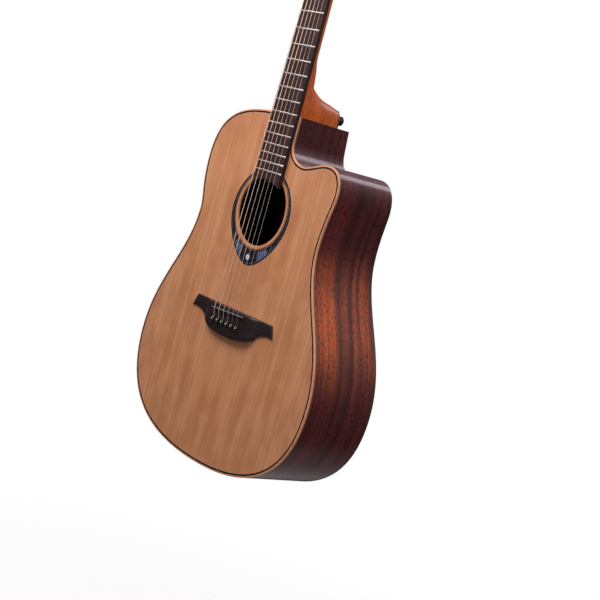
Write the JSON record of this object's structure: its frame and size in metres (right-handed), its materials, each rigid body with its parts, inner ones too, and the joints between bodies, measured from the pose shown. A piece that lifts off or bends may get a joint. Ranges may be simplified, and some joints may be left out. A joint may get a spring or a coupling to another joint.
{
  "type": "acoustic guitar",
  "caption": "Steel-string acoustic guitar with a flat-top sound box, rounded cutaway, glued bridge with pins, fretted neck and tilted headstock with geared tuners.",
  "frame": {"origin": "centre of the outer face of the end strap button at the tail of the body", "axes": "+Z along the neck towards the headstock, -Y out of the soundboard towards the player's audience, +X towards the treble side with the cutaway"},
  "size_m": [0.408, 0.1327, 1.0742],
  "materials": {
    "cedar_top": "satin lacquered cedar with fine straight grain",
    "mahogany_gloss": "high gloss striped mahogany, dark red brown to orange brown",
    "pale_binding": "gloss lacquered pale wood strip",
    "black_binding": "black strip, lacquered",
    "spruce": "bare planed spruce",
    "rosette_inlay": "charcoal resin inlay with thin pale and blue lines, lacquered flush",
    "neck_mahogany": "satin lacquered orange brown mahogany",
    "ebony": "oiled near-black rosewood, open pores",
    "bone": "polished off-white",
    "steel": "bright plain steel and nickel silver",
    "wound_bronze": "bronze wire wound on steel core",
    "chrome": "polished chrome plate",
    "black_plastic": "polished black"
  },
  "bodies": {
    "root": {"soundboard": "cedar_top", "back_plate": "mahogany_gloss", "side_bass": "mahogany_gloss", "side_treble": "mahogany_gloss", "binding_top": "pale_binding", "binding_back": "black_binding", "lining_top": "spruce", "lining_back": "spruce", "neck_block": "spruce", "tail_block": "spruce", "rosette": "rosette_inlay", "x_brace": "spruce", "upper_brace": "spruce", "tone_bar_upper": "spruce", "tone_bar_lower": "spruce", "bridge_plate": "ebony", "back_brace_1": "spruce", "back_brace_2": "spruce", "back_brace_3": "spruce", "back_brace_4": "spruce", "neck": "neck_mahogany", "heel_cap": "black_binding", "fretboard": "ebony", "nut": "bone", "truss_rod": "steel", "head_veneer": "ebony", "bridge": "ebony", "saddle": "bone", "end_button": "black_plastic", "heel_button": "black_plastic", "bridge_pin_1": "black_plastic", "string_1": "steel", "tuner_1_housing": "chrome", "bridge_pin_2": "black_plastic", "string_2": "steel", "tuner_2_housing": "chrome", "bridge_pin_3": "black_plastic", "string_3": "wound_bronze", "tuner_3_housing": "chrome", "bridge_pin_4": "black_plastic", "string_4": "wound_bronze", "tuner_4_housing": "chrome", "bridge_pin_5": "black_plastic", "string_5": "wound_bronze", "tuner_5_housing": "chrome", "bridge_pin_6": "black_plastic", "string_6": "wound_bronze", "tuner_6_housing": "chrome"},
    "knob_1": {"tuner_1_knob": "chrome"},
    "post_1": {"tuner_1_post": "chrome"},
    "knob_2": {"tuner_2_knob": "chrome"},
    "post_2": {"tuner_2_post": "chrome"},
    "knob_3": {"tuner_3_knob": "chrome"},
    "post_3": {"tuner_3_post": "chrome"},
    "knob_4": {"tuner_4_knob": "chrome"},
    "post_4": {"tuner_4_post": "chrome"},
    "knob_5": {"tuner_5_knob": "chrome"},
    "post_5": {"tuner_5_post": "chrome"},
    "knob_6": {"tuner_6_knob": "chrome"},
    "post_6": {"tuner_6_post": "chrome"}
  },
  "joints": [
    {"name": "knob_1_turn", "type": "hinge", "parent": "root", "child": "knob_1", "pos_m": [0.01989, -0.02819, 0.93736], "axis": [1, 0, 0], "continuous": true},
    {"name": "post_1_turn", "type": "hinge", "parent": "root", "child": "post_1", "pos_m": [0.01989, -0.03001, 0.92947], "axis": [0, 0.9744, -0.225], "continuous": true},
    {"name": "knob_2_turn", "type": "hinge", "parent": "root", "child": "knob_2", "pos_m": [0.02196, -0.01874, 0.97828], "axis": [1, 0, 0], "continuous": true},
    {"name": "post_2_turn", "type": "hinge", "parent": "root", "child": "post_2", "pos_m": [0.02196, -0.02056, 0.97039], "axis": [0, 0.9744, -0.225], "continuous": true},
    {"name": "knob_3_turn", "type": "hinge", "parent": "root", "child": "knob_3", "pos_m": [0.02404, -0.00929, 1.01921], "axis": [1, 0, 0], "continuous": true},
    {"name": "post_3_turn", "type": "hinge", "parent": "root", "child": "post_3", "pos_m": [0.02404, -0.01111, 1.01132], "axis": [0, 0.9744, -0.225], "continuous": true},
    {"name": "knob_4_turn", "type": "hinge", "parent": "root", "child": "knob_4", "pos_m": [-0.02404, -0.00929, 1.01921], "axis": [1, 0, 0], "continuous": true},
    {"name": "post_4_turn", "type": "hinge", "parent": "root", "child": "post_4", "pos_m": [-0.02404, -0.01111, 1.01132], "axis": [0, 0.9744, -0.225], "continuous": true},
    {"name": "knob_5_turn", "type": "hinge", "parent": "root", "child": "knob_5", "pos_m": [-0.02196, -0.01874, 0.97828], "axis": [1, 0, 0], "continuous": true},
    {"name": "post_5_turn", "type": "hinge", "parent": "root", "child": "post_5", "pos_m": [-0.02196, -0.02056, 0.97039], "axis": [0, 0.9744, -0.225], "continuous": true},
    {"name": "knob_6_turn", "type": "hinge", "parent": "root", "child": "knob_6", "pos_m": [-0.01989, -0.02819, 0.93736], "axis": [1, 0, 0], "continuous": true},
    {"name": "post_6_turn", "type": "hinge", "parent": "root", "child": "post_6", "pos_m": [-0.01989, -0.03001, 0.92947], "axis": [0, 0.9744, -0.225], "continuous": true}
  ],
  "couplings": [
    {"joint": "post_1_turn", "follows": "knob_1_turn", "ratio": 0.071429},
    {"joint": "post_2_turn", "follows": "knob_2_turn", "ratio": 0.071429},
    {"joint": "post_3_turn", "follows": "knob_3_turn", "ratio": 0.071429},
    {"joint": "post_4_turn", "follows": "knob_4_turn", "ratio": -0.071429},
    {"joint": "post_5_turn", "follows": "knob_5_turn", "ratio": -0.071429},
    {"joint": "post_6_turn", "follows": "knob_6_turn", "ratio": -0.071429}
  ]
}
